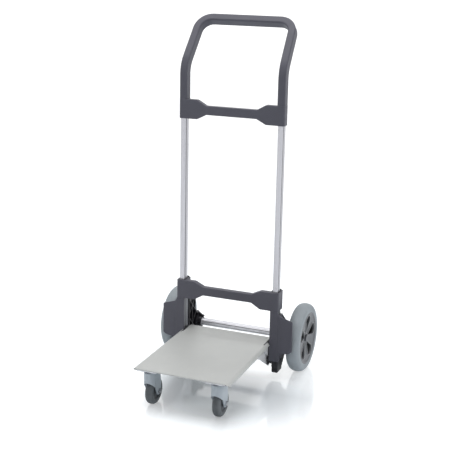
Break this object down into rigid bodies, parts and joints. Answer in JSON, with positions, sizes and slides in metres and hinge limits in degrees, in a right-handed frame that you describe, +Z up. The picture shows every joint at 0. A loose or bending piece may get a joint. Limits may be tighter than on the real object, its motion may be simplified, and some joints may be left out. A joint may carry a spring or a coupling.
{
  "type": "folding platform cart",
  "caption": "Folding hand cart: telescopic loop handle, fold-up sheet platform on swivel casters, large spoked wheels on ribbed brackets joined by an axle tube.",
  "frame": {"origin": "On the floor, under the middle of the whole cart's box, in its plane of symmetry.", "axes": "+X to the cart's right as seen from its platform side, +Y from the platform towards the wheels and handle, +Z up."},
  "size_m": [0.432, 0.533, 1.0145],
  "materials": {
    "anthracite_plastic": "fine-grained moulded plastic, dark blue-grey",
    "black_plastic": "moulded black plastic",
    "aluminium": "anodised extrusion, satin",
    "deck_sheet": "pale grey satin coated sheet",
    "ear_steel": "mid-grey coated steel",
    "tyre_grey": "light grey solid rubber",
    "rim_grey": "mid-grey moulded plastic",
    "zinc_steel": "zinc-plated steel",
    "caster_grey": "blue-grey moulded plastic",
    "caster_rubber": "dark grey rubber"
  },
  "bodies": {
    "base": {"base_bridge": "anthracite_plastic", "cross_tube": "aluminium", "base_screws": "zinc_steel", "lug_rivets": "zinc_steel", "release_key_pins": "zinc_steel", "base_bracket_left": "black_plastic", "base_bracket_right": "black_plastic", "post_cover_left": "anthracite_plastic", "post_cover_right": "anthracite_plastic", "post_rail_left": "aluminium", "post_rail_right": "aluminium", "guide_bush_left": "black_plastic", "guide_bush_right": "black_plastic", "foot_left": "black_plastic", "foot_right": "black_plastic", "hinge_lug_left": "ear_steel", "hinge_lug_right": "ear_steel", "deck_hinge_pin_left": "zinc_steel", "deck_hinge_pin_right": "zinc_steel", "wheel_axle_left": "zinc_steel", "wheel_axle_right": "zinc_steel", "hub_cap_left": "black_plastic", "hub_cap_right": "black_plastic"},
    "handle": {"handle_loop": "anthracite_plastic", "handle_bridge": "anthracite_plastic", "handle_screws": "zinc_steel", "handle_tube_left": "aluminium", "handle_tube_right": "aluminium", "tube_end_glide_left": "black_plastic", "tube_end_glide_right": "black_plastic"},
    "platform": {"platform_deck": "deck_sheet", "caster_rivets": "zinc_steel", "hinge_ear_left": "ear_steel", "hinge_ear_right": "ear_steel", "deck_hinge_bush_left": "black_plastic", "deck_hinge_bush_right": "black_plastic", "caster_plate_left": "zinc_steel", "caster_plate_right": "zinc_steel", "caster_king_pin_left": "zinc_steel", "caster_king_pin_right": "zinc_steel"},
    "release_key_left": {"release_key_left": "black_plastic"},
    "wheel_left": {"wheel_tyre_left": "tyre_grey", "wheel_rim_left": "rim_grey", "wheel_bush_left": "black_plastic"},
    "caster_fork_left": {"caster_fork_left": "caster_grey", "caster_bearing_left": "black_plastic", "caster_axle_left": "zinc_steel"},
    "caster_wheel_left": {"caster_hub_left": "caster_grey", "caster_tyre_left": "caster_rubber"},
    "release_key_right": {"release_key_right": "black_plastic"},
    "wheel_right": {"wheel_tyre_right": "tyre_grey", "wheel_rim_right": "rim_grey", "wheel_bush_right": "black_plastic"},
    "caster_fork_right": {"caster_fork_right": "caster_grey", "caster_bearing_right": "black_plastic", "caster_axle_right": "zinc_steel"},
    "caster_wheel_right": {"caster_hub_right": "caster_grey", "caster_tyre_right": "caster_rubber"}
  },
  "joints": [
    {"name": "handle_slide", "type": "slide", "parent": "base", "child": "handle", "axis": [0, 0, 1], "range_m": [-0.13, 0]},
    {"name": "platform_fold", "type": "hinge", "parent": "base", "child": "platform", "pos_m": [0, 0.0415, 0.1], "axis": [-1, 0, 0], "range_deg": [0, 90]},
    {"name": "release_key_left_press", "type": "hinge", "parent": "base", "child": "release_key_left", "pos_m": [-0.143, 0.0961, 0.231], "axis": [1, 0, 0], "range_deg": [0, 7], "stiffness_Nm_per_rad": 0.3},
    {"name": "wheel_spin_left", "type": "hinge", "parent": "base", "child": "wheel_left", "pos_m": [-0.196, 0.1665, 0.1], "axis": [1, 0, 0], "continuous": true},
    {"name": "caster_swivel_left", "type": "hinge", "parent": "platform", "child": "caster_fork_left", "pos_m": [-0.097, -0.2355, 0.104], "axis": [0, 0, 1], "continuous": true},
    {"name": "caster_spin_left", "type": "hinge", "parent": "caster_fork_left", "child": "caster_wheel_left", "pos_m": [-0.097, -0.2175, 0.0375], "axis": [1, 0, 0], "continuous": true},
    {"name": "release_key_right_press", "type": "hinge", "parent": "base", "child": "release_key_right", "pos_m": [0.143, 0.0961, 0.231], "axis": [1, 0, 0], "range_deg": [0, 7], "stiffness_Nm_per_rad": 0.3},
    {"name": "wheel_spin_right", "type": "hinge", "parent": "base", "child": "wheel_right", "pos_m": [0.196, 0.1665, 0.1], "axis": [1, 0, 0], "continuous": true},
    {"name": "caster_swivel_right", "type": "hinge", "parent": "platform", "child": "caster_fork_right", "pos_m": [0.097, -0.2355, 0.104], "axis": [0, 0, 1], "continuous": true},
    {"name": "caster_spin_right", "type": "hinge", "parent": "caster_fork_right", "child": "caster_wheel_right", "pos_m": [0.097, -0.2175, 0.0375], "axis": [1, 0, 0], "continuous": true}
  ]
}
